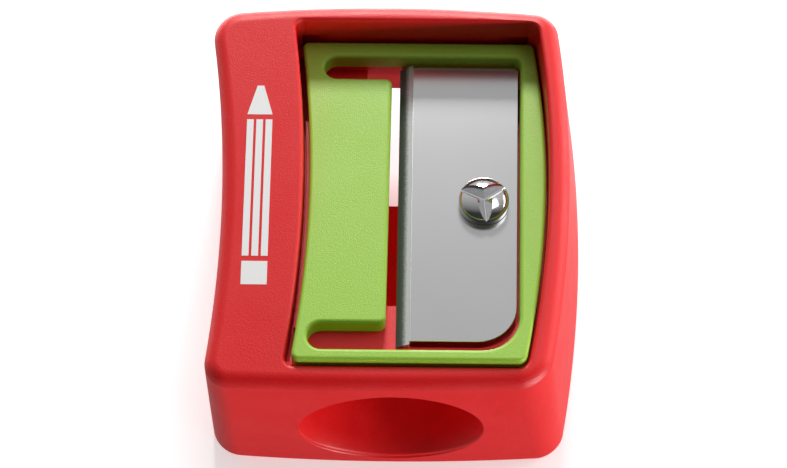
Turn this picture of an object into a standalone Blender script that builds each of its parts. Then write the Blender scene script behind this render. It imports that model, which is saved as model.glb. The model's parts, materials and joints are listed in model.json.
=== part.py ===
"""Large-hole pencil sharpener: moulded housing, snap-in trim frame, steel blade and its clamping screw.

Frame: +Z up, standing on its open base at z = 0.  -Y is the side with the pencil mouth, +X is the side
of the blade and its screw.  The origin is the middle of the base outline.

Lengths below are millimetres, turned into metres by MM.  Everything is first laid out with x = 0 on the
axis of the pencil hole and y = 0 at the front, and then moved to the origin by HOLE_TO_ORIGIN.
"""
import math

import bmesh
import bpy
from mathutils import Matrix, Vector

MM = 0.001
GAP = 0.3                     # clearance kept between pieces that touch

# Housing, outside
HEIGHT = 20.6
RIM_ARC, RIM_ARC_END = 1.467, 65.0       # radius of the rounded rim, and the tilt in degrees where it ends
RIM_EDGE = 0.25                          # small radius from there into the wall
RIM_SINE, RIM_COSINE = math.sin(math.radians(RIM_ARC_END)), math.cos(math.radians(RIM_ARC_END))
RIM_WIDTH = RIM_ARC * RIM_SINE + RIM_EDGE * (1.0 - RIM_SINE)
RIM_DROP = RIM_ARC * (1.0 - RIM_COSINE) + RIM_EDGE * RIM_COSINE
SHOULDER = HEIGHT - RIM_DROP
WALL = 2.0
DECK_THICK = 1.9              # below the sloping seat
# Corner points of the plan at the base and at the rim, how far each side bows outwards (+) or inwards (-),
# and the radius of each corner
BASE_CORNERS = [(-17.35, 0.50), (16.10, 0.42), (17.69, 37.98), (-17.50, 37.99)]
BASE_BOWS = [0.64, 1.52, 0.71, -0.88]
BASE_RADII = [2.98, 2.23, 2.49, 2.62]
RIM_CORNERS = [(-16.62, 1.02), (13.44, 1.21), (14.79, 37.49), (-17.27, 37.25)]
RIM_BOWS = [0.30, 1.63, 0.84, -1.53]
RIM_RADII = [2.50, 2.56, 1.81, 3.07]

# Sloping seat for the blade and the trim frame: it falls towards the rear
SEAT_SLOPE = math.radians(7.62)
SEAT_FRONT = (2.88, 19.47)    # y and z of the front end of the plane on which blade and frame lie
FRAME_LENGTH = 33.1           # along the slope
FRAME_THICK = 1.75
FRAME_CORNERS = [(-8.85, 0.0), (11.4, 0.0), (12.95, FRAME_LENGTH), (-8.8, FRAME_LENGTH)]
FRAME_BOWS = [0.0, 1.45, 0.0, -1.15]
RECESS_CORNERS = [(-9.45, 2.55), (11.75, 2.55), (13.25, 36.45), (-9.35, 36.45)]
RECESS_BOWS = [0.0, 1.5, 0.0, -1.2]
# Inside the frame: the bay of the blade, and a slot at each end (start and end along the slope, left end)
BAY_CORNERS = [(-0.6, 1.15), (10.9, 1.15), (12.0, 31.7), (-0.25, 31.7)]
BAY_BOWS = [0.0, 0.75, 0.0, 0.0]
BAY_RADII = [0.1, 3.6, 0.4, 0.1]
FRONT_SLOT = (1.15, 3.6, -7.35)
REAR_SLOT = (29.3, 31.7, -6.5)
SLOT_RIGHT = 0.5

# Underside: a deeper pocket below the broad left rim, and a cross wall under the end of the round tube
POCKET_CORNERS = [(-13.9, 4.2), (-10.8, 4.2), (-10.8, 35.0), (-13.9, 35.0)]
CROSS_WALL_BOTTOM = 1.2
CROSS_WALL_FOOT = (-15.2, 17.1)          # x of its two ends at the bottom
CROSS_WALL_HEAD = (-14.8, 15.1)

# Pencil hole: a short guide bore, then a cone whose top line runs just under the seat
HOLE_Z = 10.2
BORE_RADIUS = 8.0             # for pencils of about 15 mm
BORE_DEPTH = 7.6
LIP_RADIUS = 8.75
LIP_DEPTH = 0.7
TUBE_WALL = 1.5
TUBE_START = 1.6
TUBE_END = 33.0
FLOOR_END = 24.0              # behind this the tube has only its upper half, so that shavings fall out
SLIT_START, SLIT_END = 9.0, 32.7
SLIT_LEFT, SLIT_RIGHT = -0.55, 0.6

# Blade
BLADE_THICK = 0.6
EDGE_FRONT, EDGE_REAR = 0.30, 0.52        # x of the cutting edge at the two ends
BEVEL_WIDTH = 1.2
BLADE_START, BLADE_END = 2.45, 31.3       # along the slope
BLADE_RIGHT_FRONT, BLADE_RIGHT_REAR = 10.75, 11.5

# Screw
SCREW_X, SCREW_ALONG = 8.18, 16.4
HEAD_RADIUS, HEAD_HEIGHT = 2.26, 1.7
SHANK_RADIUS = 1.25
SHANK_LENGTH = 6.6
BOSS_RADIUS, BOSS_DEPTH = 3.1, 9.0

# Window in the rear wall
ARCH_RADIUS, ARCH_TOP = 8.0, 6.3

ROUND_PULL = 0.5523           # share of the way to the corner that makes a Bezier curve a quarter circle

RED = (0.73, 0.035, 0.045, 1.0)
GREEN = (0.42, 0.66, 0.10, 1.0)
STEEL = (0.52, 0.53, 0.54, 1.0)
CHROME = (0.80, 0.80, 0.82, 1.0)


# ---- outlines -------------------------------------------------------------------------------------------
def bowed_side(start, end, bow, steps=10):
    """Points from start to end on a shallow curve that bows out by `bow`; plans run anticlockwise."""
    start, end = Vector(start), Vector(end)
    chord = end - start
    outwards = Vector((chord.y, -chord.x)).normalized()
    points = []
    for step in range(steps + 1):
        t = step / steps
        points.append(start + chord * t + outwards * (4.0 * bow * t * (1.0 - t)))
    return points


def trimmed(points, start_cut, end_cut):
    """The middle of a polyline, with a length cut off each end, resampled to the same count."""
    lengths = [0.0]
    for before, after in zip(points, points[1:]):
        lengths.append(lengths[-1] + (after - before).length)
    first, last = start_cut, lengths[-1] - end_cut
    result = []
    for step in range(len(points)):
        target = first + (last - first) * step / (len(points) - 1)
        index = max(i for i in range(len(points) - 1) if lengths[i] <= target + 1e-9)
        part = (target - lengths[index]) / (lengths[index + 1] - lengths[index])
        result.append(points[index].lerp(points[index + 1], part))
    return result


def rounded_outline(corners, bows, radii, corner_steps=5, side_steps=10):
    """A closed anticlockwise plan: one bowed side from each corner to the next, and rounded corners."""
    count = len(corners)
    sides = []
    for i in range(count):
        side = bowed_side(corners[i], corners[(i + 1) % count], bows[i], side_steps)
        sides.append(trimmed(side, radii[i], radii[(i + 1) % count]))
    outline = []
    for i in range(count):
        outline += sides[i]
        start, end, corner = sides[i][-1], sides[(i + 1) % count][0], Vector(corners[(i + 1) % count])
        near, far = start.lerp(corner, ROUND_PULL), end.lerp(corner, ROUND_PULL)
        for step in range(1, corner_steps):
            t = step / corner_steps
            outline.append(start * (1 - t) ** 3 + near * (3 * t * (1 - t) ** 2)
                           + far * (3 * t * t * (1 - t)) + end * t ** 3)
    return outline


def drawn_in(corners, radii, distance):
    """Corners and radii of a plan whose sides are moved inwards by `distance`."""
    sides = []
    for start, end in zip(corners, corners[1:] + corners[:1]):
        along = (Vector(end) - Vector(start)).normalized()
        sides.append((Vector(start) + Vector((-along.y, along.x)) * distance, along))
    moved = []
    for i, (point, along) in enumerate(sides):
        before, before_along = sides[i - 1]
        reach = (point - before).cross(along) / before_along.cross(along)
        moved.append(before + before_along * reach)
    return moved, [max(radius - distance, 0.15) for radius in radii]


def housing_outline(z, inward=0.0):
    """Plan of the housing at height z, `inward` of its outer wall.

    The side walls lean straight in from the base to the rim; front and rear curve in near the rim.
    """
    base_corners, base_radii = drawn_in(BASE_CORNERS, BASE_RADII, inward)
    rim_corners, rim_radii = drawn_in(RIM_CORNERS, RIM_RADII, inward)
    base = rounded_outline(base_corners, BASE_BOWS, base_radii)
    rim = rounded_outline(rim_corners, RIM_BOWS, rim_radii)
    across = z / HEIGHT
    lengthwise = across * min(1.0, z / SHOULDER) ** 2
    return [Vector((low.x + (high.x - low.x) * across, low.y + (high.y - low.y) * lengthwise))
            for low, high in zip(base, rim)]


def seat_z(y, lift=0.0):
    """Height of the seat plane at y, raised by `lift` along its normal."""
    front_y, front_z = SEAT_FRONT
    return front_z - (y - front_y) * math.tan(SEAT_SLOPE) + lift / math.cos(SEAT_SLOPE)


def cone_radius(y):
    """Radius of the pencil hole behind the guide bore; the cone falls at the slope of the seat."""
    return BORE_RADIUS - (y - BORE_DEPTH) * math.tan(SEAT_SLOPE)


base_xs = [point.x for point in housing_outline(0.0)]
base_ys = [point.y for point in housing_outline(0.0)]
HOLE_TO_ORIGIN = Vector((-(min(base_xs) + max(base_xs)) / 2, -(min(base_ys) + max(base_ys)) / 2, 0.0))


# ---- scene and object helpers ---------------------------------------------------------------------------
def clear_scene():
    for old in list(bpy.data.objects):
        bpy.data.objects.remove(old, do_unlink=True)


def new_collection(name):
    collection = bpy.data.collections.new(name)
    bpy.context.scene.collection.children.link(collection)
    return collection


def material(name, color, roughness, metallic):
    made = bpy.data.materials.new(name)
    made.use_nodes = True
    shader = made.node_tree.nodes["Principled BSDF"]
    shader.inputs["Base Color"].default_value = color
    shader.inputs["Roughness"].default_value = roughness
    shader.inputs["Metallic"].default_value = metallic
    return made


def add_object(name, mesh, collection, place=None):
    made = bpy.data.objects.new(name, mesh)
    collection.objects.link(made)
    made.location = HOLE_TO_ORIGIN * MM
    if place is not None:
        made.matrix_world = Matrix.Translation(HOLE_TO_ORIGIN * MM) @ place
    return made


def loft(name, rings, collection, place=None):
    """A closed solid through rings of equal point counts, lowest ring first, each point (x, y, z)."""
    shape = bmesh.new()
    loops = []
    for ring in rings:
        loops.append([shape.verts.new(Vector(point) * MM) for point in ring])
    count = len(loops[0])
    for low, high in zip(loops, loops[1:]):
        for i in range(count):
            following = (i + 1) % count
            shape.faces.new((low[i], low[following], high[following], high[i]))
    shape.faces.new(list(reversed(loops[0])))
    shape.faces.new(loops[-1])
    bmesh.ops.recalc_face_normals(shape, faces=shape.faces)
    mesh = bpy.data.meshes.new(name)
    shape.to_mesh(mesh)
    shape.free()
    return add_object(name, mesh, collection, place)


def prism(name, outline, bottom, top, collection, place=None):
    """A flat plan extruded between two heights; a height is a number or a function of y."""
    def height(level, point):
        return level(point[1]) if callable(level) else level
    rings = [[(p[0], p[1], height(level, p)) for p in outline] for level in (bottom, top)]
    return loft(name, rings, collection, place)


def cone(name, start, radius_start, end, radius_end, collection, segments=48):
    """A round solid between two points, with a radius at each."""
    start, end = Vector(start), Vector(end)
    shape = bmesh.new()
    bmesh.ops.create_cone(shape, cap_ends=True, segments=segments, radius1=radius_start * MM,
                          radius2=radius_end * MM, depth=(end - start).length * MM)
    turn = (end - start).to_track_quat("Z", "Y").to_matrix().to_4x4()
    bmesh.ops.transform(shape, matrix=Matrix.Translation((start + end) / 2 * MM) @ turn, verts=shape.verts)
    mesh = bpy.data.meshes.new(name)
    shape.to_mesh(mesh)
    shape.free()
    return add_object(name, mesh, collection)


def turned(name, stations, collection, segments=64):
    """A round solid about the axis of the pencil hole, through stations of (y, radius)."""
    rings = []
    for y, radius in stations:
        turns = [2.0 * math.pi * (i + 0.5) / segments for i in range(segments)]
        rings.append([(radius * math.sin(a), y, HOLE_Z + radius * math.cos(a)) for a in turns])
    return loft(name, rings, collection)


def box(name, low, high, collection):
    corners = [(low[0], low[1]), (high[0], low[1]), (high[0], high[1]), (low[0], high[1])]
    return prism(name, corners, low[2], high[2], collection)


def as_cutter(made):
    made.hide_render = True
    made.display_type = "WIRE"
    return made


def boolean(target, tool, operation):
    as_cutter(tool)
    modifier = target.modifiers.new(tool.name, "BOOLEAN")
    modifier.operation = operation
    modifier.solver = "EXACT"
    modifier.object = tool


def finish(made, shade, angle=35.0):
    made.data.materials.append(shade)
    made.data.shade_smooth()
    made.data.set_sharp_from_angle(angle=math.radians(angle))


def seat_frame(x=0.0, along=0.0, lift=0.0):
    """Placement on the seat plane: x stays, y runs down the slope, z is the seat's normal."""
    front_y, front_z = SEAT_FRONT
    turn = Matrix.Rotation(-SEAT_SLOPE, 4, "X")
    front = Matrix.Translation(Vector((0.0, front_y, front_z)) * MM)
    return front @ turn @ Matrix.Translation(Vector((x, along, lift)) * MM)


# ---- housing --------------------------------------------------------------------------------------------
def rim_profile(arc_steps, edge_steps):
    """Section of the rim as (inwards of the wall, below the top), from the shoulder up to the flat top."""
    end = math.radians(RIM_ARC_END)
    turns = [math.pi / 2 + (end - math.pi / 2) * step / edge_steps for step in range(edge_steps)]
    section = [(RIM_EDGE * (1.0 - math.sin(t)), RIM_DROP - RIM_EDGE * math.cos(t)) for t in turns]
    turns = [end * (1.0 - step / arc_steps) for step in range(arc_steps + 1)]
    return section + [(RIM_WIDTH - RIM_ARC * math.sin(t), RIM_ARC * (1.0 - math.cos(t))) for t in turns]


def housing_rings():
    rings = []
    for z in (0.0, 7.0, 12.5, 16.5):
        rings.append([(p.x, p.y, z) for p in housing_outline(z)])
    for inward, drop in rim_profile(4, 1):
        z = HEIGHT - drop
        rings.append([(p.x, p.y, z) for p in housing_outline(z, inward)])
    return rings


def build_body(parts, cutters):
    body = loft("body", housing_rings(), parts)

    # Hollow underside: below the sloping deck, and a deeper pocket below the broad left rim
    low, high = housing_outline(0.0, WALL), housing_outline(SHOULDER, WALL)
    hollow = loft("cut_hollow", [[(p.x, p.y, -0.5) for p in low],
                                 [(p.x, p.y, seat_z(p.y, -GAP - DECK_THICK)) for p in high]], cutters)
    boolean(body, hollow, "DIFFERENCE")
    pocket = rounded_outline(POCKET_CORNERS, [0.0] * 4, [0.8] * 4)
    boolean(body, prism("cut_rim_pocket", pocket, 2.0, HEIGHT - DECK_THICK, cutters), "DIFFERENCE")

    # Tube around the pencil hole, with the full circle only in front; a cross wall carries its end
    outer = BORE_RADIUS + TUBE_WALL
    tube = turned("add_tube", [(TUBE_START, outer), (BORE_DEPTH, outer),
                               (TUBE_END, cone_radius(TUBE_END) + TUBE_WALL)], cutters)
    boolean(tube, box("cut_tube_floor", (-12, FLOOR_END, -2), (12, TUBE_END + 1, HOLE_Z - 0.5), cutters),
            "DIFFERENCE")
    boolean(body, tube, "UNION")
    near, far = FLOOR_END - 1.6, FLOOR_END - 0.4
    left, right = CROSS_WALL_FOOT
    foot = [(x, y, CROSS_WALL_BOTTOM) for x, y in ((left, near), (right, near), (right, far), (left, far))]
    left, right = CROSS_WALL_HEAD
    head = [(x, y, seat_z(y, -1.0)) for x, y in ((left, near), (right, near), (right, far), (left, far))]
    boolean(body, loft("add_cross_wall", [foot, head], cutters), "UNION")

    # Boss for the screw
    seat = seat_frame(SCREW_X, SCREW_ALONG)
    boss_top, boss_foot = seat @ Vector((0, 0, -MM)), seat @ Vector((0, 0, -BOSS_DEPTH * MM))
    boolean(body, cone("add_screw_boss", boss_top / MM, BOSS_RADIUS, boss_foot / MM, BOSS_RADIUS, cutters,
                       24), "UNION")

    # Recess for blade and frame, open to the rim
    recess = rounded_outline(RECESS_CORNERS, RECESS_BOWS, [0.9] * 4)
    boolean(body, prism("cut_recess", recess, lambda y: seat_z(y, -GAP), HEIGHT + 1.0, cutters),
            "DIFFERENCE")

    # Pencil hole, its lip, the slit along the cutting edge, the screw hole and the rear window
    lip_growth = (LIP_RADIUS - BORE_RADIUS) / LIP_DEPTH
    taper_end = TUBE_END + 1.5
    stations = [(-1.0, LIP_RADIUS + lip_growth), (LIP_DEPTH, BORE_RADIUS), (BORE_DEPTH, BORE_RADIUS),
                (taper_end, cone_radius(taper_end))]
    boolean(body, turned("cut_pencil_hole", stations, cutters), "DIFFERENCE")
    slit_plan = [(SLIT_LEFT, SLIT_START), (SLIT_RIGHT, SLIT_START), (SLIT_RIGHT, SLIT_END),
                 (SLIT_LEFT, SLIT_END)]
    boolean(body, prism("cut_slit", slit_plan, lambda y: seat_z(y, -3.0), lambda y: seat_z(y, 1.0),
                        cutters), "DIFFERENCE")
    hole_top, hole_foot = seat @ Vector((0, 0, MM)), seat @ Vector((0, 0, (1.0 - BOSS_DEPTH) * MM))
    hole_radius = SHANK_RADIUS + GAP
    boolean(body, cone("cut_screw_hole", hole_top / MM, hole_radius, hole_foot / MM, hole_radius, cutters,
                       24), "DIFFERENCE")
    arch_z = ARCH_TOP - ARCH_RADIUS
    boolean(body, cone("cut_rear_window", (0, 34.0, arch_z), ARCH_RADIUS, (0, 41.0, arch_z), ARCH_RADIUS,
                       cutters), "DIFFERENCE")
    finish(body, material("red_plastic", RED, 0.42, 0.0))
    return body


# ---- trim frame -----------------------------------------------------------------------------------------
def build_insert_frame(parts, cutters):
    seat = seat_frame()
    outline = rounded_outline(FRAME_CORNERS, FRAME_BOWS, [0.7] * 4)
    frame = prism("insert_frame", outline, 0.0, FRAME_THICK, parts, seat)

    # The bay around the blade, and one slot at each end that frees the pad from the frame
    bay = rounded_outline(BAY_CORNERS, BAY_BOWS, BAY_RADII)
    boolean(frame, prism("cut_bay", bay, -1.0, FRAME_THICK + 1.0, cutters, seat), "DIFFERENCE")
    for name, low, high, left in (("cut_front_slot", *FRONT_SLOT), ("cut_rear_slot", *REAR_SLOT)):
        radius = (high - low) / 2 - 0.01
        slot = rounded_outline([(left, low), (SLOT_RIGHT, low), (SLOT_RIGHT, high), (left, high)], [0.0] * 4,
                               [radius, 0.05, 0.05, radius])
        boolean(frame, prism(name, slot, -1.0, FRAME_THICK + 1.0, cutters, seat), "DIFFERENCE")
    finish(frame, material("green_plastic", GREEN, 0.45, 0.0))
    return frame


# ---- blade ----------------------------------------------------------------------------------------------
def blade_plan(edge_shift):
    """Plan of the blade seen from the screw's axis, with its left side moved right by `edge_shift`."""
    corners = [(EDGE_FRONT + edge_shift, BLADE_START), (BLADE_RIGHT_FRONT, BLADE_START),
               (BLADE_RIGHT_REAR, BLADE_END), (EDGE_REAR + edge_shift, BLADE_END)]
    plan = rounded_outline(corners, [0.0] * 4, [0.05, 3.4, 0.5, 0.05], 6, 2)
    return [(p.x - SCREW_X, p.y - SCREW_ALONG) for p in plan]


def build_blade(parts, cutters):
    rings = [[(x, y, 0.0) for x, y in blade_plan(0.0)],
             [(x, y, BLADE_THICK) for x, y in blade_plan(BEVEL_WIDTH)]]
    place = seat_frame(SCREW_X, SCREW_ALONG)
    blade = loft("blade", rings, parts, place)
    start, end = place @ Vector((0, 0, -MM)), place @ Vector((0, 0, 2 * MM))
    boolean(blade, cone("cut_blade_hole", start / MM, SHANK_RADIUS + GAP, end / MM, SHANK_RADIUS + GAP,
                        cutters, 24), "DIFFERENCE")
    finish(blade, material("blade_steel", STEEL, 0.25, 1.0))
    return blade


# ---- screw ----------------------------------------------------------------------------------------------
def screw_profile():
    """Half section of the screw, from the crown of the head down to the tip; heights from the blade seat."""
    under = BLADE_THICK + GAP
    side = 0.75                                    # height of the upright band of the head
    points = [(0.0, under + HEAD_HEIGHT)]
    crown = HEAD_HEIGHT - side
    for degrees in (18, 36, 54, 72, 90):
        turn = math.radians(degrees)
        points.append((HEAD_RADIUS * math.sin(turn), under + side + crown * math.cos(turn)))
    points += [(HEAD_RADIUS, under), (SHANK_RADIUS, under), (SHANK_RADIUS, under - SHANK_LENGTH),
               (0.0, under - SHANK_LENGTH - 0.9)]
    return points


def groove_star(half_width, reach=3.0):
    """Plan of the three drive grooves: three arms, one of them pointing to the front."""
    plan = []
    for index in range(3):
        heading = math.radians(-90 + 120 * index)
        along = Vector((math.cos(heading), math.sin(heading)))
        across = Vector((-along.y, along.x))
        plan += [along * reach - across * half_width, along * reach + across * half_width]
        between = heading + math.radians(60)
        plan.append(Vector((math.cos(between), math.sin(between))) * (2.0 * half_width / math.sqrt(3.0)))
    return plan


def build_screw(parts, cutters):
    mesh = bpy.data.meshes.new("blade_screw")
    profile = screw_profile()
    mesh.from_pydata([(x * MM, 0.0, z * MM) for x, z in profile],
                     [(i, i + 1) for i in range(len(profile) - 1)], [])
    place = seat_frame(SCREW_X, SCREW_ALONG)
    screw = add_object("blade_screw", mesh, parts, place)
    turn = screw.modifiers.new("turn", "SCREW")
    turn.steps = turn.render_steps = 32
    turn.use_merge_vertices = True
    turn.merge_threshold = 0.00001
    # Three V grooves that meet in the middle of the head, cut with one three-armed wedge
    crown = BLADE_THICK + GAP + HEAD_HEIGHT
    rings = [[(x, y, crown + up) for x, y in groove_star(half_width)]
             for up, half_width in ((-0.8, 0.06), (0.3, 0.55))]
    boolean(screw, loft("cut_drive", rings, cutters, place), "DIFFERENCE")
    finish(screw, material("chrome", CHROME, 0.12, 1.0))
    return screw


clear_scene()
part_collection = new_collection("pencil_sharpener")
cutter_collection = new_collection("cutters")
build_body(part_collection, cutter_collection)
build_insert_frame(part_collection, cutter_collection)
build_blade(part_collection, cutter_collection)
build_screw(part_collection, cutter_collection)
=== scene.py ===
"""Looks of the large-hole pencil sharpener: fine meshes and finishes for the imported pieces."""
import math
import json

import bmesh
import bpy
from mathutils import Matrix, Vector


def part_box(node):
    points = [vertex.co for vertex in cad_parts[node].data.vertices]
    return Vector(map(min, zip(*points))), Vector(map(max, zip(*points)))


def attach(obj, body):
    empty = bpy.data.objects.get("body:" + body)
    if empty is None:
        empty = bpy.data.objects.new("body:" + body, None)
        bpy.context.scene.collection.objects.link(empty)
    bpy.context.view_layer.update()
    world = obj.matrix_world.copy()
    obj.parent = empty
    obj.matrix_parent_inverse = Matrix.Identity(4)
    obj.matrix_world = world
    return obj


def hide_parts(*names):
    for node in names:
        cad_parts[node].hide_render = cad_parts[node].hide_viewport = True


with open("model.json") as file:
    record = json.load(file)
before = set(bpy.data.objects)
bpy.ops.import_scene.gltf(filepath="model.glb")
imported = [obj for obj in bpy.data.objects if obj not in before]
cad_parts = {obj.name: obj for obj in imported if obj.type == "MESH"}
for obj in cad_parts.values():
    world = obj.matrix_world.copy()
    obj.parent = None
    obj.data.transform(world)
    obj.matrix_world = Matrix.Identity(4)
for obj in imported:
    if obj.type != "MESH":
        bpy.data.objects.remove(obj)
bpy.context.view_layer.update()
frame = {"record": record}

MM = 0.001

# ---- places taken from the frame ------------------------------------------------------------------------
# ORIGIN is in metres. All other places and sizes are in millimetres from it, unless their comment says
# otherwise: x = 0 is the axis of the pencil hole, y = 0 the front face and z = 0 the base.
FRONT_BOW = 0.18                            # how far the front face bows out at the base, before y = 0
joints = {joint["name"]: joint for joint in frame["record"]["behaviour"]["joints"]}
openings = {space["name"]: space["box_m"] for space in frame["record"]["physics"]["openings"]}
mouth_low, mouth_high = (Vector(corner) for corner in openings["pencil_hole_mouth"])
body_low, body_high = (Vector(corner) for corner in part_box("body"))
ORIGIN = Vector(((mouth_low.x + mouth_high.x) / 2, body_low.y + FRONT_BOW * MM, 0.0))
HOLE_Z = (mouth_low.z + mouth_high.z) / 2 / MM
HEIGHT = body_high.z / MM
SEAT_NORMAL = Vector(joints["screw_turn"]["axis"]).normalized()
SEAT_SLOPE = math.asin(SEAT_NORMAL.y)
SCREW_SEAT = (Vector(joints["screw_turn"]["pos_m"]) - ORIGIN) / MM

# ---- sizes of the housing -------------------------------------------------------------------------------
# Plans run anticlockwise from the front left corner: a bow for each side, a radius for each corner.
RIM_ARC, RIM_ARC_END = 1.467, 65.0          # radius of the rounded rim, and the tilt in degrees at its end
RIM_EDGE = 0.25                             # small radius from there into the wall
RIM_SINE, RIM_COSINE = math.sin(math.radians(RIM_ARC_END)), math.cos(math.radians(RIM_ARC_END))
RIM_WIDTH = RIM_ARC * RIM_SINE + RIM_EDGE * (1.0 - RIM_SINE)
RIM_DROP = RIM_ARC * (1.0 - RIM_COSINE) + RIM_EDGE * RIM_COSINE
SHOULDER = HEIGHT - RIM_DROP
FOOT_EDGE = 0.22                            # small rounding at the foot of the wall
BASE_CORNERS = [(-17.35, 0.50), (16.10, 0.42), (17.69, 37.98), (-17.50, 37.99)]
BASE_BOWS = [0.64, 1.52, 0.71, -0.88]
BASE_RADII = [2.98, 2.23, 2.49, 2.62]
RIM_CORNERS = [(-16.62, 1.02), (13.44, 1.21), (14.79, 37.49), (-17.27, 37.25)]
RIM_BOWS = [0.30, 1.63, 0.84, -1.53]
RIM_RADII = [2.50, 2.56, 1.81, 3.07]
WALL = 2.0
DECK_THICK = 1.9                            # below the sloping seat
POCKET_LEFT, POCKET_RIGHT = -13.9, -10.8    # the hollow under the left rim, beside the recess
POCKET_FRONT, POCKET_REAR = 4.2, 35.0
POCKET_BOTTOM, POCKET_ROOF = 2.0, 1.9       # height where it starts, and thickness left above it
BOSS_RADIUS, BOSS_DEPTH = 3.1, 9.0
ARCH_RADIUS, ARCH_TOP = 8.0, 6.3            # window in the rear wall
ARCH_START, ARCH_END = 34.0, 41.0

RECESS_CORNERS = [(-9.45, 2.80), (11.75, 2.80), (13.25, 36.45), (-9.35, 36.45)]
RECESS_BOWS = [0.0, 1.5, 0.0, -1.2]
RECESS_RADIUS = 0.9
RECESS_LIP = 0.35                           # flare of its upper edge
SEAT_CLEARANCE = 0.03                       # between the seat and what lies on it
GAP_DEPTH = 1.5                             # grooves beside the trim frame, below the seat
SNAP_GROOVES = [("left_gap", 0.22, 3.6, 35.2),        # name, width, first and last y
                ("left_notch", 0.75, 6.0, 6.8),
                ("left_rear_gap", 0.75, 28.2, 35.3),
                ("left_front_gap", 0.4, 3.5, 6.1)]
UNDERCUT = 0.55                             # how far the rear wall is cut back above the seat

MOUTH_RADIUS, LIP_ROUND = 8.68, 0.32
BORE_RADIUS, BORE_DEPTH = 8.03, 9.6         # straight part of the hole
TUBE_WALL, TUBE_START, TUBE_END = 1.5, 1.6, 33.0
FLOOR_END = 24.6                            # behind this the tube has only its upper half
CROSS_WALL_NEAR, CROSS_WALL_FAR = FLOOR_END - 1.6, FLOOR_END - 0.4
CROSS_WALL_BOTTOM = 1.2
CROSS_WALL_FOOT = (-15.2, 17.1)             # x of its two ends at the bottom
CROSS_WALL_HEAD = (-14.8, 15.1)
SLIT_START, SLIT_END, SLIT_HALF = 9.0, 32.7, 0.75

# ---- trim frame, blade and screw: distances along the slope from the front of the frame -----------------
FRAME_LENGTH, FRAME_THICK, FRAME_ROUND = 33.4, 1.75, 0.35
FRAME_FOOT = 0.12                           # chamfer of its lower edge
FRAME_CORNERS = [(-8.85, 0.05), (11.6, 0.05), (13.1, FRAME_LENGTH), (-8.8, FRAME_LENGTH)]
FRAME_BOWS = [0.0, 1.45, 0.0, -1.15]
FRAME_RADII = [0.8, 0.7, 0.5, 0.7]
BAY_CORNERS = [(-7.45, 1.15), (11.08, 1.15), (11.85, 31.7), (-6.6, 31.7),
               (-6.6, 29.3), (-0.25, 29.3), (-0.6, 3.65), (-7.45, 3.65)]
BAY_RADII = [1.24, 3.3, 0.7, 1.19, 1.19, 0.65, 0.65, 1.24]
SLOT_POCKET_LOW, SLOT_POCKET_HIGH = (-6.9, 29.1), (0.75, 32.0)
SLOT_POCKET_DEPTH = 1.1

BLADE_THICK = 0.6
BLADE_START, BLADE_END = 2.45, 31.3
EDGE_FRONT, EDGE_REAR = 0.30, 0.52          # x of the cutting edge at the two ends
BLADE_RIGHT_FRONT, BLADE_RIGHT_REAR = 10.88, 11.65
BLADE_CORNER = 3.4                          # radius of the front right corner
BEVEL_WIDTH = 1.2
BEVEL_FRONT_NIB, BEVEL_REAR_NIB = 0.30, 0.28          # how far the bevel stands past the blade's ends
GROOVE_WIDTH, GROOVE_DEPTH = 0.32, 0.75     # in the seat, round the blade's front and right edges
GROOVE_UNDER = 0.7                          # how far that groove reaches in under the blade
BLADE_HOLE = 0.2                            # play of the shank in the blade

SCREW_ALONG = 16.4
HEAD_RADIUS, HEAD_HEIGHT, HEAD_SIDE = 2.28, 1.72, 0.72          # the side is the part below the dome
SHANK_RADIUS, SHANK_LENGTH, PITCH = 1.25, 6.6, 1.1
CORE_RADIUS, TIP_RADIUS = 0.92, 0.05
TIP_TAPER, TIP_LENGTH = 1.2, 0.55           # tapered end of the thread, and the cone past it
BOSS_HOLE = 0.25                            # play of the shank in the boss

# ---- printed mark: a plain pencil of bars on the left rim -----------------------------------------------
MARK_X, MARK_HALF, MARK_GAP = -12.25, 1.15, 0.24
RUBBER_FRONT, RUBBER_REAR = 10.2, 12.4
BARREL_FRONT, BARREL_REAR = 12.9, 26.2
POINT_FRONT, POINT_REAR, POINT_HALF = 26.7, 29.6, 0.3
MARK_BOTTOM, MARK_TOP = 0.004, 0.016        # above the rim

# ---- finishes: colours, and noise in lumps per metre ----------------------------------------------------
# The second colour of each plastic is a painted glint: a lighter tint on the spots of its grain
RED, RED_GRAIN_PAINTED_GLINT = (0.80, 0.006, 0.008, 1.0), (0.86, 0.014, 0.018, 1.0)
GREEN, GREEN_GRAIN_PAINTED_GLINT = (0.31, 0.57, 0.035, 1.0), (0.38, 0.63, 0.08, 1.0)
STEEL = (0.56, 0.565, 0.57, 1.0)
LAPPED_DARK, LAPPED_LIGHT = (0.60, 0.602, 0.604, 1.0), (0.65, 0.652, 0.654, 1.0)
# The bevel's two tones are a painted reflection: dark along the cutting edge, light towards the flat
BEVEL_PAINTED_DARK_REFLECTION, BEVEL_PAINTED_LIGHT_REFLECTION = (0.13, 0.14, 0.14, 1.0), (0.66, 0.66, 0.66, 1.0)
CHROME = (0.72, 0.72, 0.73, 1.0)
INK = (0.93, 0.93, 0.92, 1.0)
PAPER = (0.90, 0.90, 0.90, 1.0)
WHITE = (1.0, 1.0, 1.0, 1.0)
PLASTIC_GLOSS = 0.54
RED_ROUGHNESS, GREEN_ROUGHNESS = 0.40, 0.42
LAPPED_ROUGHNESS, BEVEL_ROUGHNESS = 0.2, 0.42
PLASTIC_GRAIN, PLASTIC_CLOUDS = 9500.0, 260.0
STEEL_GRIT, STEEL_CLOUDS = 5200.0, 120.0
CHROME_SCUFFS = 3000.0
INK_GRAIN = 6500.0

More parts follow.
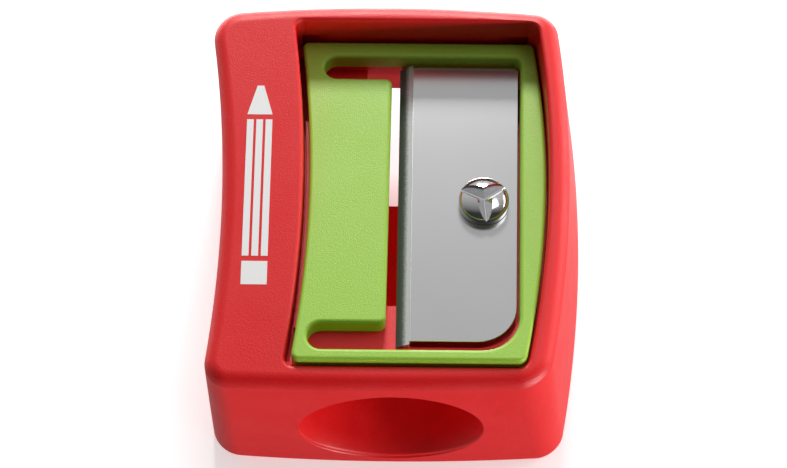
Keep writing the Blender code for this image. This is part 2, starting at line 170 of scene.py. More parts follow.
# ---- light ----------------------------------------------------------------------------------------------
FRONT_GLOW, REAR_GLOW = 0.04, 0.56          # of the room
REAR_FLOOR_GLOW = 5.5                       # what the rear rim mirrors: the bright paper behind
FLOOR_GLOW = 0.5
FLOOR_SIZE = 4000.0
FLOOR_DROP = 0.02                           # below the base, so that the two don't touch
AIM = Vector((0.0, 0.0, 10.0)) * MM         # where the lights point, in metres
# Name, azimuth and elevation in degrees, distance, width and height in metres, radiance
SOFT_BOXES = [("key_behind", 180.0, 30.0, 0.60, 0.14, 0.10, 65.0),
              ("right_strip", 110.0, 12.0, 0.50, 0.30, 0.22, 3.6),
              ("front_strip", 48.0, 3.0, 0.50, 0.26, 0.06, 33.0),
              ("top_right", 120.0, 62.0, 0.60, 0.25, 0.25, 2.0)]

# ---- camera ---------------------------------------------------------------------------------------------
CAMERA_ELEVATION, CAMERA_ROLL = 68.21, 0.58           # degrees
CAMERA_DISTANCE = 0.180                     # metres
CAMERA_TARGET = Vector((0.02, 17.0, 15.85))
LENS, SENSOR = 90.0, 36.0

ROUND_PULL = 0.5523           # share of the way to the corner that makes a Bezier curve a quarter circle
SMALLEST_RADIUS = 0.15        # of a corner that is drawn in


# ---- plans ----------------------------------------------------------------------------------------------
def bowed_side(start, end, bow, steps):
    """Points from start to end on a shallow curve that bows out by `bow`; the plan runs anticlockwise."""
    start, end = Vector(start), Vector(end)
    chord = end - start
    outwards = Vector((chord.y, -chord.x)).normalized()
    parts = [step / steps for step in range(steps + 1)]
    return [start + chord * t + outwards * (4.0 * bow * t * (1.0 - t)) for t in parts]


def trimmed(points, start_cut, end_cut):
    """The middle of a polyline with a length cut off each end, resampled to the same count."""
    lengths = [0.0]
    for before, after in zip(points, points[1:]):
        lengths.append(lengths[-1] + (after - before).length)
    first, last = start_cut, lengths[-1] - end_cut
    result = []
    for step in range(len(points)):
        target = first + (last - first) * step / (len(points) - 1)
        index = max(i for i in range(len(points) - 1) if lengths[i] <= target + 1e-9)
        part = (target - lengths[index]) / (lengths[index + 1] - lengths[index])
        result.append(points[index].lerp(points[index + 1], part))
    return result


def rounded_plan(corners, bows, radii, corner_steps=12, side_steps=24):
    """A closed anticlockwise plan with bowed sides and rounded corners, one radius for each corner."""
    count = len(corners)
    if isinstance(radii, (int, float)):
        radii = [radii] * count
    sides = []
    for i in range(count):
        side = bowed_side(corners[i], corners[(i + 1) % count], bows[i], side_steps)
        sides.append(trimmed(side, radii[i], radii[(i + 1) % count]))
    plan = []
    for i in range(count):
        plan += sides[i]
        following = (i + 1) % count
        start, end, corner = sides[i][-1], sides[following][0], Vector(corners[following])
        for step in range(1, corner_steps):
            t = step / corner_steps
            near, far = start.lerp(corner, ROUND_PULL), end.lerp(corner, ROUND_PULL)
            plan.append(start * (1 - t) ** 3 + near * (3 * t * (1 - t) ** 2)
                        + far * (3 * t * t * (1 - t)) + end * t ** 3)
    return plan


def inset(plan, distance):
    """The plan moved inwards along its local normals."""
    result = []
    for i, point in enumerate(plan):
        along = (plan[(i + 1) % len(plan)] - plan[i - 1]).normalized()
        result.append(point + Vector((-along.y, along.x)) * distance)
    return result


def drawn_in(corners, radii, distance):
    """Corners and radii of a plan whose sides are moved inwards by `distance`."""
    sides = []
    for start, end in zip(corners, corners[1:] + corners[:1]):
        along = (Vector(end) - Vector(start)).normalized()
        sides.append((Vector(start) + Vector((-along.y, along.x)) * distance, along))
    moved = []
    for i, (point, along) in enumerate(sides):
        before, before_along = sides[i - 1]
        reach = (point - before).cross(along) / before_along.cross(along)
        moved.append(before + before_along * reach)
    return moved, [max(radius - distance, SMALLEST_RADIUS) for radius in radii]


def rectangle(low, high):
    """A plan between two opposite corners."""
    return [(low[0], low[1]), (high[0], low[1]), (high[0], high[1]), (low[0], high[1])]


def housing_plan(z, inward=0.0):
    """Outline of the housing at height z, drawn in by `inward`; its sides lean in from base to rim."""
    base_corners, base_radii = drawn_in(BASE_CORNERS, BASE_RADII, inward)
    rim_corners, rim_radii = drawn_in(RIM_CORNERS, RIM_RADII, inward)
    base = rounded_plan(base_corners, BASE_BOWS, base_radii)
    rim = rounded_plan(rim_corners, RIM_BOWS, rim_radii)
    across = z / HEIGHT
    lengthwise = across * min(1.0, z / SHOULDER) ** 2
    return [Vector((low.x + (high.x - low.x) * across, low.y + (high.y - low.y) * lengthwise))
            for low, high in zip(base, rim)]


def seat_z(y, lift=0.0):
    """Height at y of the plane on which blade and frame lie, raised by `lift` along its normal."""
    return SCREW_SEAT.z - (y - SCREW_SEAT.y) * math.tan(SEAT_SLOPE) + lift / math.cos(SEAT_SLOPE)


def cone_radius(y):
    """Radius of the pencil hole, which narrows at the slope of the seat."""
    return BORE_RADIUS - max(0.0, y - BORE_DEPTH) * math.tan(SEAT_SLOPE)


def seat_frame(x=0.0, along=0.0):
    """Placement on the seat plane: x stays, y runs down the slope, z is the seat's normal."""
    turn = Matrix.Rotation(-SEAT_SLOPE, 4, "X")
    return (Matrix.Translation(Vector((0.0, SCREW_SEAT.y, SCREW_SEAT.z))) @ turn
            @ Matrix.Translation(Vector((x, along - SCREW_ALONG, 0.0))))


# ---- solids ---------------------------------------------------------------------------------------------
def add_object(name, shape, place=Matrix.Identity(4)):
    """A mesh object from a bmesh in millimetres, turned into the frame's metres."""
    bmesh.ops.recalc_face_normals(shape, faces=shape.faces)
    bmesh.ops.transform(shape, matrix=Matrix.Translation(ORIGIN) @ Matrix.Scale(MM, 4) @ place,
                        verts=shape.verts)
    mesh = bpy.data.meshes.new(name)
    shape.to_mesh(mesh)
    shape.free()
    made = bpy.data.objects.new(name, mesh)
    bpy.context.scene.collection.objects.link(made)
    return made


def loft(name, rings, place=Matrix.Identity(4)):
    """A closed solid through rings of equal point counts."""
    shape = bmesh.new()
    loops = [[shape.verts.new(point) for point in ring] for ring in rings]
    count = len(loops[0])
    for low, high in zip(loops, loops[1:]):
        for i in range(count):
            following = (i + 1) % count
            shape.faces.new((low[i], low[following], high[following], high[i]))
    shape.faces.new(list(reversed(loops[0])))
    shape.faces.new(loops[-1])
    return add_object(name, shape, place)


def plan_loft(name, levels, place=Matrix.Identity(4)):
    """A solid from (plan, height) levels; a height is a number or a function of y."""
    rings = [[(p[0], p[1], height(p[1]) if callable(height) else height) for p in plan]
             for plan, height in levels]
    return loft(name, rings, place)


def turned(name, stations, segments=128):
    """A round solid about the axis of the pencil hole, through stations of (y, radius)."""
    turns = [2.0 * math.pi * (i + 0.5) / segments for i in range(segments)]
    return loft(name, [[(radius * math.sin(a), y, HOLE_Z + radius * math.cos(a)) for a in turns]
                       for y, radius in stations])


def upright(name, stations, place, segments=64):
    """A round solid about the local z axis, through stations of (z, radius)."""
    turns = [2.0 * math.pi * (i + 0.5) / segments for i in range(segments)]
    return loft(name, [[(radius * math.cos(a), radius * math.sin(a), z) for a in turns]
                       for z, radius in stations], place)


def box(name, low, high):
    plan = rectangle(low, high)
    return plan_loft(name, [(plan, low[2]), (plan, high[2])])


def combine(target, *steps):
    """Applies (operation, tool) steps to the target, and removes the tools."""
    for operation, tool in steps:
        modifier = target.modifiers.new(tool.name, "BOOLEAN")
        modifier.operation = operation
        modifier.solver = "EXACT"
        modifier.object = tool
        depsgraph = bpy.context.evaluated_depsgraph_get()
        result = bpy.data.meshes.new_from_object(target.evaluated_get(depsgraph), depsgraph=depsgraph)
        target.modifiers.clear()
        target.data = result
        bpy.data.objects.remove(tool, do_unlink=True)
    return target


def rounded_opening(name, plan, bottom, top, radius, place=Matrix.Identity(4)):
    """A cutter with upright walls whose mouth flares into a rounded edge at height `top`."""
    levels = [(plan, bottom)]
    for step in range(7):
        turn = math.radians(86.0) * step / 6
        flare = inset(plan, -radius * (1.0 - math.cos(turn)))
        levels.append((flare, top - radius + radius * math.sin(turn)))
    levels.append((inset(plan, -radius * 1.3), top + 0.2))
    return plan_loft(name, levels, place)


def smooth(piece, angle=30.0):
    """Shades a piece smoothly across edges that turn less than `angle` degrees."""
    piece.data.shade_smooth()
    piece.data.set_sharp_from_angle(angle=math.radians(angle))
    weighted = piece.modifiers.new("weighted_normals", "WEIGHTED_NORMAL")
    weighted.keep_sharp = True
    weighted.weight = 80


# ---- materials ------------------------------------------------------------------------------------------
def new_material(name, color, roughness, metallic=0.0, specular=0.5):
    made = bpy.data.materials.new(name)
    made.use_nodes = True
    shader = made.node_tree.nodes["Principled BSDF"]
    shader.inputs["Base Color"].default_value = color
    shader.inputs["Roughness"].default_value = roughness
    shader.inputs["Metallic"].default_value = metallic
    shader.inputs["Specular IOR Level"].default_value = specular
    return made, made.node_tree, shader


def add_noise(tree, scale, detail):
    """Noise in object space; scale is in lumps per metre."""
    coordinates = tree.nodes.new("ShaderNodeTexCoord")
    noise = tree.nodes.new("ShaderNodeTexNoise")
    noise.inputs["Scale"].default_value = scale
    noise.inputs["Detail"].default_value = detail
    tree.links.new(coordinates.outputs["Object"], noise.inputs["Vector"])
    return noise.outputs["Fac"]


def add_ramp(tree, source, low, high, low_value, high_value):
    """Maps a stretch of the source's values onto a stretch of values."""
    ramp = tree.nodes.new("ShaderNodeMapRange")
    ramp.inputs["From Min"].default_value = low
    ramp.inputs["From Max"].default_value = high
    ramp.inputs["To Min"].default_value = low_value
    ramp.inputs["To Max"].default_value = high_value
    tree.links.new(source, ramp.inputs["Value"])
    return ramp.outputs["Result"]


def add_bump(tree, shader, height, strength, distance):
    bump = tree.nodes.new("ShaderNodeBump")
    bump.inputs["Strength"].default_value = strength
    bump.inputs["Distance"].default_value = distance
    tree.links.new(height, bump.inputs["Height"])
    tree.links.new(bump.outputs["Normal"], shader.inputs["Normal"])


def mix_colors(tree, factor, first, second):
    """Mixes two colours, each of them a plain colour or the output of a node."""
    mix = tree.nodes.new("ShaderNodeMix")
    mix.data_type = "RGBA"
    tree.links.new(factor, mix.inputs["Factor"])
    for name, color in (("A", first), ("B", second)):
        if isinstance(color, tuple):
            mix.inputs[name].default_value = color
        else:
            tree.links.new(color, mix.inputs[name])
    return mix.outputs["Result"]


def moulded_plastic(name, color, painted_glint, roughness):
    """Satin moulded plastic with the fine spark-eroded grain of its tool, and a painted glint: a lighter tint
    on the grain's spots.
    """
    made, tree, shader = new_material(name, color, roughness, specular=PLASTIC_GLOSS)
    grain = add_noise(tree, PLASTIC_GRAIN, 3.0)
    clouds = add_noise(tree, PLASTIC_CLOUDS, 2.0)
    # Painted glint: the grain's spots get a lighter tint mixed into the base colour
    painted_sparkle_spots = add_ramp(tree, grain, 0.45, 0.75, 0.0, 1.0)
    uneven = add_ramp(tree, clouds, 0.3, 0.7, roughness - 0.04, roughness + 0.05)
    tree.links.new(mix_colors(tree, painted_sparkle_spots, color, painted_glint), shader.inputs["Base Color"])
    tree.links.new(uneven, shader.inputs["Roughness"])
    add_bump(tree, shader, grain, 0.7, 0.00004)
    return made


def ground_steel(name):
    """Lapped blade steel, satin and even; the bevel is ground coarser, with a painted dark reflection along
    the cutting edge.
    """
    made, tree, shader = new_material(name, STEEL, LAPPED_ROUGHNESS, 1.0)
    clouds = add_noise(tree, STEEL_CLOUDS, 3.0)
    grit = add_noise(tree, STEEL_GRIT, 4.0)
    lapped = mix_colors(tree, clouds, LAPPED_DARK, LAPPED_LIGHT)
    # Place across the blade, in metres; the cutting edge lies at edge_x and runs a little askew of the y axis
    lean = (EDGE_REAR - EDGE_FRONT) / (BLADE_END - BLADE_START)
    edge_x = ORIGIN.x + (EDGE_FRONT - lean * (ORIGIN.y / MM + BLADE_START)) * MM
    coordinates = tree.nodes.new("ShaderNodeTexCoord")
    across = tree.nodes.new("ShaderNodeVectorMath")
    across.operation = "DOT_PRODUCT"
    across.inputs[1].default_value = (1.0, -lean, 0.0)
    tree.links.new(coordinates.outputs["Object"], across.inputs[0])
    # The painted dark reflection along the cutting edge has a ragged border, and the bevel ends sharply at
    # the flat
    ragged = tree.nodes.new("ShaderNodeMath")
    ragged.operation = "MULTIPLY_ADD"
    ragged.inputs[1].default_value = 0.00035
    tree.links.new(grit, ragged.inputs[0])
    tree.links.new(across.outputs["Value"], ragged.inputs[2])
    painted_dark_end = edge_x + BEVEL_WIDTH * 0.55 * MM
    light_end = edge_x + BEVEL_WIDTH * MM
    out_of_painted_dark = add_ramp(tree, ragged.outputs["Value"], painted_dark_end, painted_dark_end + 0.4 * MM, 0.0, 1.0)
    on_flat = add_ramp(tree, across.outputs["Value"], light_end, light_end + 0.05 * MM, 0.0, 1.0)
    # ground is the bevel's painted reflection, dark along the cutting edge and light towards the flat
    ground = mix_colors(tree, out_of_painted_dark, BEVEL_PAINTED_DARK_REFLECTION, BEVEL_PAINTED_LIGHT_REFLECTION)
    roughness = add_ramp(tree, on_flat, 0.0, 1.0, BEVEL_ROUGHNESS, LAPPED_ROUGHNESS)
    tree.links.new(mix_colors(tree, on_flat, ground, lapped), shader.inputs["Base Color"])
    tree.links.new(roughness, shader.inputs["Roughness"])
    add_bump(tree, shader, grit, 0.12, 0.00001)
    return made


def chrome_plate(name):
    """Polished plating with faint scuffs."""
    made, tree, shader = new_material(name, CHROME, 0.13, 1.0)
    scuffs = add_noise(tree, CHROME_SCUFFS, 4.0)
    tree.links.new(add_ramp(tree, scuffs, 0.45, 0.8, 0.11, 0.24), shader.inputs["Roughness"])
    add_bump(tree, shader, scuffs, 0.05, 0.00002)
    return made


def print_ink(name):
    """White ink that follows the grain below it."""
    made, tree, shader = new_material(name, INK, 0.45)
    add_bump(tree, shader, add_noise(tree, INK_GRAIN, 3.0), 0.15, 0.00003)
    return made


def dress(piece, shade, body, node=None):
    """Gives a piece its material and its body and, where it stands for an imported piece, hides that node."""
    piece.data.materials.clear()
    piece.data.materials.append(shade)
    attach(piece, body)
    if node:
        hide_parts(node)


# ---- housing --------------------------------------------------------------------------------------------
def rim_profile(arc_steps, edge_steps):
    """Section of the rim as (inwards of the wall, below the top), from the shoulder up to the flat top."""
    end = math.radians(RIM_ARC_END)
    turns = [math.pi / 2 + (end - math.pi / 2) * step / edge_steps for step in range(edge_steps)]
    section = [(RIM_EDGE * (1.0 - math.sin(t)), RIM_DROP - RIM_EDGE * math.cos(t)) for t in turns]
    turns = [end * (1.0 - step / arc_steps) for step in range(arc_steps + 1)]
    return section + [(RIM_WIDTH - RIM_ARC * math.sin(t), RIM_ARC * (1.0 - math.cos(t))) for t in turns]


def housing_shell():
    """The outside of the housing, solid, from its rounded foot to its rounded rim."""
    foot = [(housing_plan(0.0, FOOT_EDGE), 0.0), (housing_plan(0.0, 0.06), 0.08)]
    levels = foot + [(housing_plan(FOOT_EDGE), FOOT_EDGE)]
    wall_height = SHOULDER - 0.34
    for step in range(1, 13):
        z = FOOT_EDGE + wall_height * step / 12
        levels.append((housing_plan(z), z))
    for inward, drop in rim_profile(14, 4):
        levels.append((housing_plan(HEIGHT - drop, inward), HEIGHT - drop))
    return plan_loft("housing_shell", levels)


def housing_inside():
    """Steps that hollow the underside and leave the cone tube, its cross wall and the boss of the screw."""
    low, high = housing_plan(0.0, WALL), housing_plan(SHOULDER, WALL)
    hollow = plan_loft("hollow", [(low, -0.5), (high, lambda y: seat_z(y, -DECK_THICK))])
    corners = rectangle((POCKET_LEFT, POCKET_FRONT), (POCKET_RIGHT, POCKET_REAR))
    plan = rounded_plan(corners, [0.0] * 4, 0.8, 6, 4)
    pocket = plan_loft("pocket", [(plan, POCKET_BOTTOM), (plan, HEIGHT - POCKET_ROOF)])
    outer, rear_outer = BORE_RADIUS + TUBE_WALL, cone_radius(TUBE_END) + TUBE_WALL
    tube = turned("tube", [(TUBE_START, outer), (BORE_DEPTH, outer), (TUBE_END, rear_outer)])
    lower_half = box("tube_floor", (-12, FLOOR_END, -2), (12, TUBE_END + 1, HOLE_Z - 0.5))
    combine(tube, ("DIFFERENCE", lower_half))
    foot = rectangle((CROSS_WALL_FOOT[0], CROSS_WALL_NEAR), (CROSS_WALL_FOOT[1], CROSS_WALL_FAR))
    head = rectangle((CROSS_WALL_HEAD[0], CROSS_WALL_NEAR), (CROSS_WALL_HEAD[1], CROSS_WALL_FAR))
    wall = plan_loft("cross_wall", [(foot, CROSS_WALL_BOTTOM), (head, lambda y: seat_z(y, -1.0))])
    boss_ends = [(-BOSS_DEPTH, BOSS_RADIUS), (-1.0, BOSS_RADIUS)]
    boss = upright("boss", boss_ends, seat_frame(SCREW_SEAT.x, SCREW_ALONG), 48)
    return [("DIFFERENCE", hollow), ("DIFFERENCE", pocket), ("UNION", tube), ("UNION", wall), ("UNION", boss)]


def mouth_stations():
    """The mouth of the pencil hole as (y, radius): a small rounded lip and a short taper."""
    turns = [math.radians(15.0 * step) for step in range(1, 7)]
    lip = [(LIP_ROUND * (1.0 - math.cos(t)), MOUTH_RADIUS - LIP_ROUND * math.sin(t)) for t in turns]
    before = [(-1.0, MOUTH_RADIUS + 0.6), (-0.03, MOUTH_RADIUS + 0.03), (0.0, MOUTH_RADIUS)]
    return before + lip + [(0.6, MOUTH_RADIUS - LIP_ROUND - 0.12), (2.0, BORE_RADIUS)]


def housing_cuts():
    """Steps that cut the recess, the pencil hole, the slit, the hole of the screw and the rear window."""
    recess = rounded_plan(RECESS_CORNERS, RECESS_BOWS, RECESS_RADIUS)
    seat = rounded_opening("recess", recess, lambda y: seat_z(y, -SEAT_CLEARANCE), HEIGHT, RECESS_LIP)
    taper_end = TUBE_END + 1.5
    cone = [(BORE_DEPTH, BORE_RADIUS), (taper_end, cone_radius(taper_end))]
    hole = turned("pencil_hole", mouth_stations() + cone)
    slit_plan = rectangle((-SLIT_HALF, SLIT_START), (SLIT_HALF, SLIT_END))
    slit = plan_loft("slit", [(slit_plan, lambda y: seat_z(y, -3.0)), (slit_plan, lambda y: seat_z(y, 1.0))])
    screw_hole = upright("screw_hole", [(-8.0, SHANK_RADIUS + BOSS_HOLE), (1.0, SHANK_RADIUS + BOSS_HOLE)],
                         seat_frame(SCREW_SEAT.x, SCREW_ALONG))
    window = turned("window", [(ARCH_START, ARCH_RADIUS), (ARCH_END, ARCH_RADIUS)])
    window.location.z = (ARCH_TOP - ARCH_RADIUS - HOLE_Z) * MM
    return [("DIFFERENCE", tool) for tool in (seat, hole, slit, screw_hole, window)]


def side_gap_plan(recess, width, first_y, last_y, steps=24):
    """A strip along the left wall of the recess, `width` wide, between two values of y."""
    left = [p for p in recess if p.x < 0 and 3.4 < p.y < 35.5]
    left.sort(key=lambda p: p.y)

    def wall_x(y):
        index = max(0, min(len(left) - 2, sum(1 for p in left if p.y <= y) - 1))
        low, high = left[index], left[index + 1]
        return low.x + (high.x - low.x) * (y - low.y) / (high.y - low.y)

    ys = [first_y + (last_y - first_y) * step / steps for step in range(steps + 1)]
    wall_side = [Vector((wall_x(y) - 0.02, y)) for y in reversed(ys)]
    return wall_side + [Vector((wall_x(y) + width, y)) for y in ys]


def blade_outline(growth):
    """Plan of the blade without its bevel and its rear end, grown outwards; its left side stays."""
    rear = BLADE_END - 2.0
    corners = [(1.5, BLADE_START - growth), (BLADE_RIGHT_FRONT + growth, BLADE_START - growth),
               (BLADE_RIGHT_REAR + growth, rear), (1.7, rear)]
    return rounded_plan(corners, [0.0] * 4, [0.3, BLADE_CORNER + growth, 0.5, 0.3], 10, 8)


def gap_cuts():
    """Steps that cut the grooves and pockets of the seat; they stay above the hollow underside."""
    recess = rounded_plan(RECESS_CORNERS, RECESS_BOWS, RECESS_RADIUS)

    def gap_floor(y):
        return seat_z(y, -GAP_DEPTH)

    def above_seat(y):
        return seat_z(y, 0.4)

    def above_frame(y):
        return seat_z(y, FRAME_THICK + 0.8)

    tools = []
    for name, width, first_y, last_y in SNAP_GROOVES:
        plan = side_gap_plan(recess, width, first_y, last_y)
        tools.append(plan_loft(name, [(plan, gap_floor), (plan, above_seat)]))
    # The rear wall is undercut where the frame's rear edge snaps in
    wall = bowed_side((12.6, 36.45), (-8.8, 36.45), RECESS_BOWS[3], 24)
    undercut = [p + Vector((0.0, UNDERCUT)) for p in wall] + [p - Vector((0.0, 0.2)) for p in reversed(wall)]
    tools.append(plan_loft("rear_gap", [(undercut, gap_floor), (undercut, above_frame)]))
    # A pocket in the seat under the slot at the rear of the thumb pad
    pocket = rounded_plan(rectangle(SLOT_POCKET_LOW, SLOT_POCKET_HIGH), [0.0] * 4, 0.8, 8, 4)
    tools.append(plan_loft("slot_pocket", [(pocket, -SLOT_POCKET_DEPTH), (pocket, 0.3)], seat_frame()))
    # A groove round the front and right edges of the blade
    outer, inner = blade_outline(GROOVE_WIDTH), blade_outline(-GROOVE_UNDER)
    groove = plan_loft("blade_groove", [(outer, -GROOVE_DEPTH), (outer, 0.4)], seat_frame())
    combine(groove, ("DIFFERENCE", plan_loft("island", [(inner, -1.0), (inner, 1.0)], seat_frame())))
    tools.append(groove)
    return [("DIFFERENCE", tool) for tool in tools]


def build_housing():
    housing = combine(housing_shell(), *housing_inside(), *housing_cuts(), *gap_cuts())
    housing.name = "housing_moulding"
    smooth(housing)
    plastic = moulded_plastic("red_moulding", RED, RED_GRAIN_PAINTED_GLINT, RED_ROUGHNESS)
    dress(housing, plastic, "housing", "body")


# ---- trim frame -----------------------------------------------------------------------------------------
def build_frame():
    place = seat_frame()
    plan = rounded_plan(FRAME_CORNERS, FRAME_BOWS, FRAME_RADII)
    levels = [(inset(plan, FRAME_FOOT), 0.0), (plan, FRAME_FOOT)]
    for step in range(7):
        turn = math.pi / 2 * step / 6
        levels.append((inset(plan, FRAME_ROUND * (1.0 - math.cos(turn))),
                       FRAME_THICK - FRAME_ROUND + FRAME_ROUND * math.sin(turn)))
    trim = plan_loft("trim", levels, place)
    # One opening: the bay of the blade and the two slots that free the thumb pad
    bay = rounded_plan(BAY_CORNERS, [0.0] * 8, BAY_RADII, 10, 16)
    combine(trim, ("DIFFERENCE", rounded_opening("bay", bay, -1.0, FRAME_THICK, FRAME_ROUND, place)))
    trim.name = "trim_frame"
    smooth(trim)
    plastic = moulded_plastic("green_moulding", GREEN, GREEN_GRAIN_PAINTED_GLINT, GREEN_ROUGHNESS)
    dress(trim, plastic, "housing", "insert_frame")


# ---- blade ----------------------------------------------------------------------------------------------
def blade_ring(shift, height, shrink=0.0):
    """Outline of the blade at one height; its left side lies `shift` right of the cutting edge."""
    front, rear = BLADE_START + shrink, BLADE_END - shrink
    corners = [(EDGE_FRONT + shift, front), (BLADE_RIGHT_FRONT - shrink, front),
               (BLADE_RIGHT_REAR - shrink, rear), (EDGE_REAR + shift, rear)]
    plan = rounded_plan(corners, [0.0] * 4, [0.05, BLADE_CORNER, 0.55, 0.05], 10, 4)
    return [(p.x, p.y, height) for p in plan]


def bevel_height(part):
    """Height of the bevel at a share of its width: steepest at the cutting edge."""
    return 0.05 + (BLADE_THICK - 0.08) * (1.35 * part - 0.35 * part * part)


def bevel_section(along, shift, slant):
    """Section across the bevel's strip; `slant` draws the cutting edge back from the end of the strip."""
    left = EDGE_FRONT + (EDGE_REAR - EDGE_FRONT) * (along - BLADE_START) / (BLADE_END - BLADE_START)
    section = [(0.0, 0.02), (BEVEL_WIDTH, 0.02), (BEVEL_WIDTH, BLADE_THICK - 0.015)]
    section += [(BEVEL_WIDTH * part, bevel_height(part)) for part in (0.8, 0.6, 0.3, 0.0)]
    return [(left + x, along + shift + slant * (1.0 - x / BEVEL_WIDTH), z) for x, z in section]


def build_blade():
    place = seat_frame()
    rings = [blade_ring(0.0, 0.01), blade_ring(0.02, 0.05)]
    for part in (0.3, 0.6, 0.8, 1.0):
        rings.append(blade_ring(BEVEL_WIDTH * part, bevel_height(part)))
    rings.append(blade_ring(BEVEL_WIDTH + 0.03, BLADE_THICK, 0.03))
    blade = loft("blade", rings, place)
    # The ground strip of the bevel stands a little past both ends of the blade, with slanted ends
    strip = loft("bevel_strip", [bevel_section(BLADE_START, -BEVEL_FRONT_NIB, -0.12),
                                 bevel_section(BLADE_END, BEVEL_REAR_NIB, -0.35)], place)
    combine(blade, ("UNION", strip))
    hole = upright("hole", [(-1.0, SHANK_RADIUS + BLADE_HOLE), (2.0, SHANK_RADIUS + BLADE_HOLE)],
                   seat_frame(SCREW_SEAT.x, SCREW_ALONG))
    combine(blade, ("DIFFERENCE", hole))
    blade.name = "ground_blade"
    smooth(blade, 12.0)
    dress(blade, ground_steel("ground_steel"), "cutting_blade", "blade")


# ---- screw ----------------------------------------------------------------------------------------------
def groove_star(half_width, reach=3.0):
    """Plan of the three drive grooves: three arms, one of them pointing to the front."""
    plan = []
    for index in range(3):
        heading = math.radians(-85 + 120 * index)
        along = Vector((math.cos(heading), math.sin(heading)))
        across = Vector((-along.y, along.x))
        plan += [along * reach - across * half_width, along * reach + across * half_width]
        between = heading + math.radians(60)
        plan.append(Vector((math.cos(between), math.sin(between))) * (2.0 * half_width / math.sqrt(3.0)))
    return plan


def build_head(place):
    """The domed head with its drive grooves, and the top of the shank."""
    under = BLADE_THICK + 0.02
    crown = HEAD_HEIGHT - HEAD_SIDE
    stations = [(under - 0.3, SHANK_RADIUS), (under - 0.001, SHANK_RADIUS), (under, HEAD_RADIUS - 0.12),
                (under + 0.04, HEAD_RADIUS - 0.04), (under + 0.12, HEAD_RADIUS),
                (under + HEAD_SIDE - 0.1, HEAD_RADIUS)]
    for step in range(1, 24):
        turn = math.pi / 2 * (1.0 - step / 24)
        stations.append((under + HEAD_SIDE + crown * math.cos(turn), HEAD_RADIUS * math.sin(turn)))
    head = upright("screw_head", stations, place, 128)
    top = under + HEAD_HEIGHT
    grooves = ((-0.95, 0.05), (-0.85, 0.12), (0.3, 0.95))          # (height over the top, half width)
    drive = loft("drive", [[(x, y, top + up) for x, y in groove_star(half)] for up, half in grooves], place)
    return combine(head, ("DIFFERENCE", drive))


def build_thread(place, points_per_ring=48, rings_per_pitch=14):
    """The shank with a self-tapping thread: a tube whose radius follows a helix, closed by a cone."""
    top, length = BLADE_THICK - 0.25, SHANK_LENGTH
    count = int(length / PITCH * rings_per_pitch)
    angles = [2.0 * math.pi * i / points_per_ring for i in range(points_per_ring)]
    rings = []
    for step in range(count + 1):
        z = top - length * step / count
        taper = min(1.0, (z - (top - length)) / TIP_TAPER)
        ring = []
        for angle in angles:
            phase = (z / PITCH - angle / (2.0 * math.pi)) % 1.0
            ridge = max(0.0, 1.0 - abs(phase - 0.5) / 0.28)
            radius = (CORE_RADIUS + (SHANK_RADIUS - CORE_RADIUS) * ridge) * (0.45 + 0.55 * taper)
            ring.append((radius * math.cos(angle), radius * math.sin(angle), z))
        rings.append(ring)
    tip_z = top - length - TIP_LENGTH
    rings.append([(TIP_RADIUS * math.cos(angle), TIP_RADIUS * math.sin(angle), tip_z) for angle in angles])
    return loft("thread", rings, place)


def build_screw():
    place = seat_frame(SCREW_SEAT.x, SCREW_ALONG)
    screw = combine(build_head(place), ("UNION", build_thread(place)))
    screw.name = "clamp_screw_piece"
    smooth(screw, 25.0)
    dress(screw, chrome_plate("chrome_plate"), "clamp_screw", "blade_screw")


# ---- printed mark ---------------------------------------------------------------------------------------
def build_mark():
    """A thin plate for each bar of the mark: the rubber, three facets of the barrel and the point."""
    left, right = MARK_X - MARK_HALF, MARK_X + MARK_HALF
    width = 2 * MARK_HALF + MARK_GAP
    shapes = [rectangle((left, RUBBER_FRONT), (right, RUBBER_REAR))]
    for index in range(3):
        facet = left + index * width / 3
        shapes.append(rectangle((facet, BARREL_FRONT), (facet + width / 3 - MARK_GAP, BARREL_REAR)))
    shapes.append([(left, POINT_FRONT), (right, POINT_FRONT),
                   (MARK_X + POINT_HALF, POINT_REAR), (MARK_X - POINT_HALF, POINT_REAR)])
    mark = bmesh.new()
    for plan in shapes:
        low = [mark.verts.new((x, y, HEIGHT + MARK_BOTTOM)) for x, y in plan]
        high = [mark.verts.new((x, y, HEIGHT + MARK_TOP)) for x, y in plan]
        mark.faces.new(list(reversed(low)))
        mark.faces.new(high)
        for i in range(4):
            mark.faces.new((low[i], low[(i + 1) % 4], high[(i + 1) % 4], high[i]))
    piece = add_object("rim_mark", mark)
    dress(piece, print_ink("white_ink"), "housing")


# ---- stage ----------------------------------------------------------------------------------------------
def build_stage():
    """White paper that glows a little and stays out of the sharpener's reflections."""
    shape = bmesh.new()
    bmesh.ops.create_grid(shape, x_segments=2, y_segments=2, size=FLOOR_SIZE)
    floor = add_object("floor", shape)
    floor.location.z = -FLOOR_DROP * MM
    shade, _, shader = new_material("paper", PAPER, 0.9)
    shader.inputs["Emission Color"].default_value = WHITE
    shader.inputs["Emission Strength"].default_value = FLOOR_GLOW
    floor.data.materials.append(shade)
    floor.visible_glossy = False


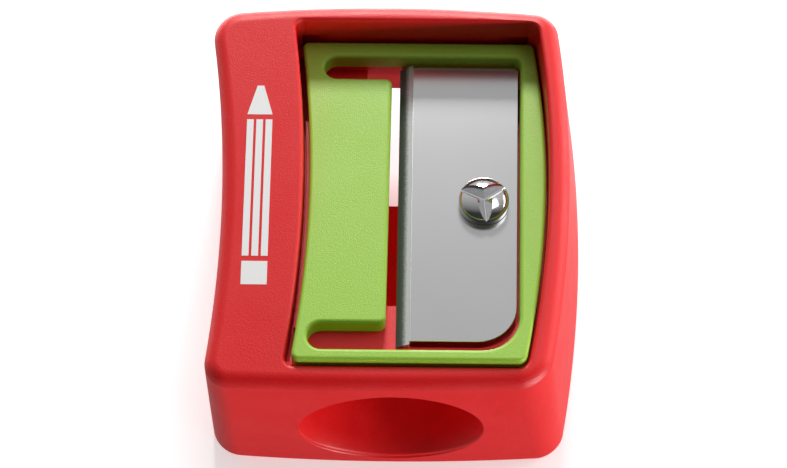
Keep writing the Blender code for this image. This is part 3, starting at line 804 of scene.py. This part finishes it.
def area_light(name, azimuth, elevation, distance, width, height, radiance):
    """A soft box that looks at the sharpener; azimuth 0 is the front, 90 the right."""
    turn, rise = math.radians(azimuth), math.radians(elevation)
    away = Vector((math.sin(turn) * math.cos(rise), -math.cos(turn) * math.cos(rise), math.sin(rise)))
    data = bpy.data.lights.new(name, "AREA")
    data.energy = radiance * math.pi * width * height
    data.shape = "RECTANGLE"
    data.size = width
    data.size_y = height
    lamp = bpy.data.objects.new(name, data)
    bpy.context.scene.collection.objects.link(lamp)
    lamp.location = away * distance + AIM
    lamp.rotation_euler = away.to_track_quat("Z", "Y").to_euler()


def build_room():
    """A dim pale room, brighter behind, with bright paper low behind."""
    bpy.context.scene.view_settings.view_transform = "Standard"
    world = bpy.data.worlds.new("studio")
    bpy.context.scene.world = world
    world.use_nodes = True
    tree = world.node_tree
    direction = tree.nodes.new("ShaderNodeTexCoord")
    split = tree.nodes.new("ShaderNodeSeparateXYZ")
    tree.links.new(direction.outputs["Generated"], split.inputs["Vector"])
    sky = add_ramp(tree, split.outputs["Y"], -0.35, 0.6, FRONT_GLOW, REAR_GLOW)
    rearwards = add_ramp(tree, split.outputs["Y"], 0.35, 1.0, 0.0, 1.0)
    downwards = add_ramp(tree, split.outputs["Z"], -0.15, 0.0, REAR_FLOOR_GLOW, 0.0)
    paper = tree.nodes.new("ShaderNodeMath")
    paper.operation = "MULTIPLY_ADD"
    tree.links.new(rearwards, paper.inputs[0])
    tree.links.new(downwards, paper.inputs[1])
    tree.links.new(sky, paper.inputs[2])
    background = tree.nodes["Background"]
    background.inputs["Color"].default_value = WHITE
    tree.links.new(paper.outputs["Value"], background.inputs["Strength"])


def build_camera():
    elevation, roll = math.radians(CAMERA_ELEVATION), math.radians(CAMERA_ROLL)
    target = ORIGIN + CAMERA_TARGET * MM
    backwards = Vector((0.0, -math.cos(elevation), math.sin(elevation)))
    data = bpy.data.cameras.new("camera")
    data.sensor_width = SENSOR
    data.lens = LENS
    data.clip_start = 0.01
    camera = bpy.data.objects.new("camera", data)
    bpy.context.scene.collection.objects.link(camera)
    camera.matrix_world = (Matrix.Translation(target + backwards * CAMERA_DISTANCE)
                           @ backwards.to_track_quat("Z", "Y").to_matrix().to_4x4()
                           @ Matrix.Rotation(roll, 4, "Z"))
    bpy.context.scene.camera = camera


build_housing()
build_frame()
build_blade()
build_screw()
build_mark()
build_stage()
build_room()
for soft_box in SOFT_BOXES:
    area_light(*soft_box)
build_camera()

bpy.context.view_layer.update()
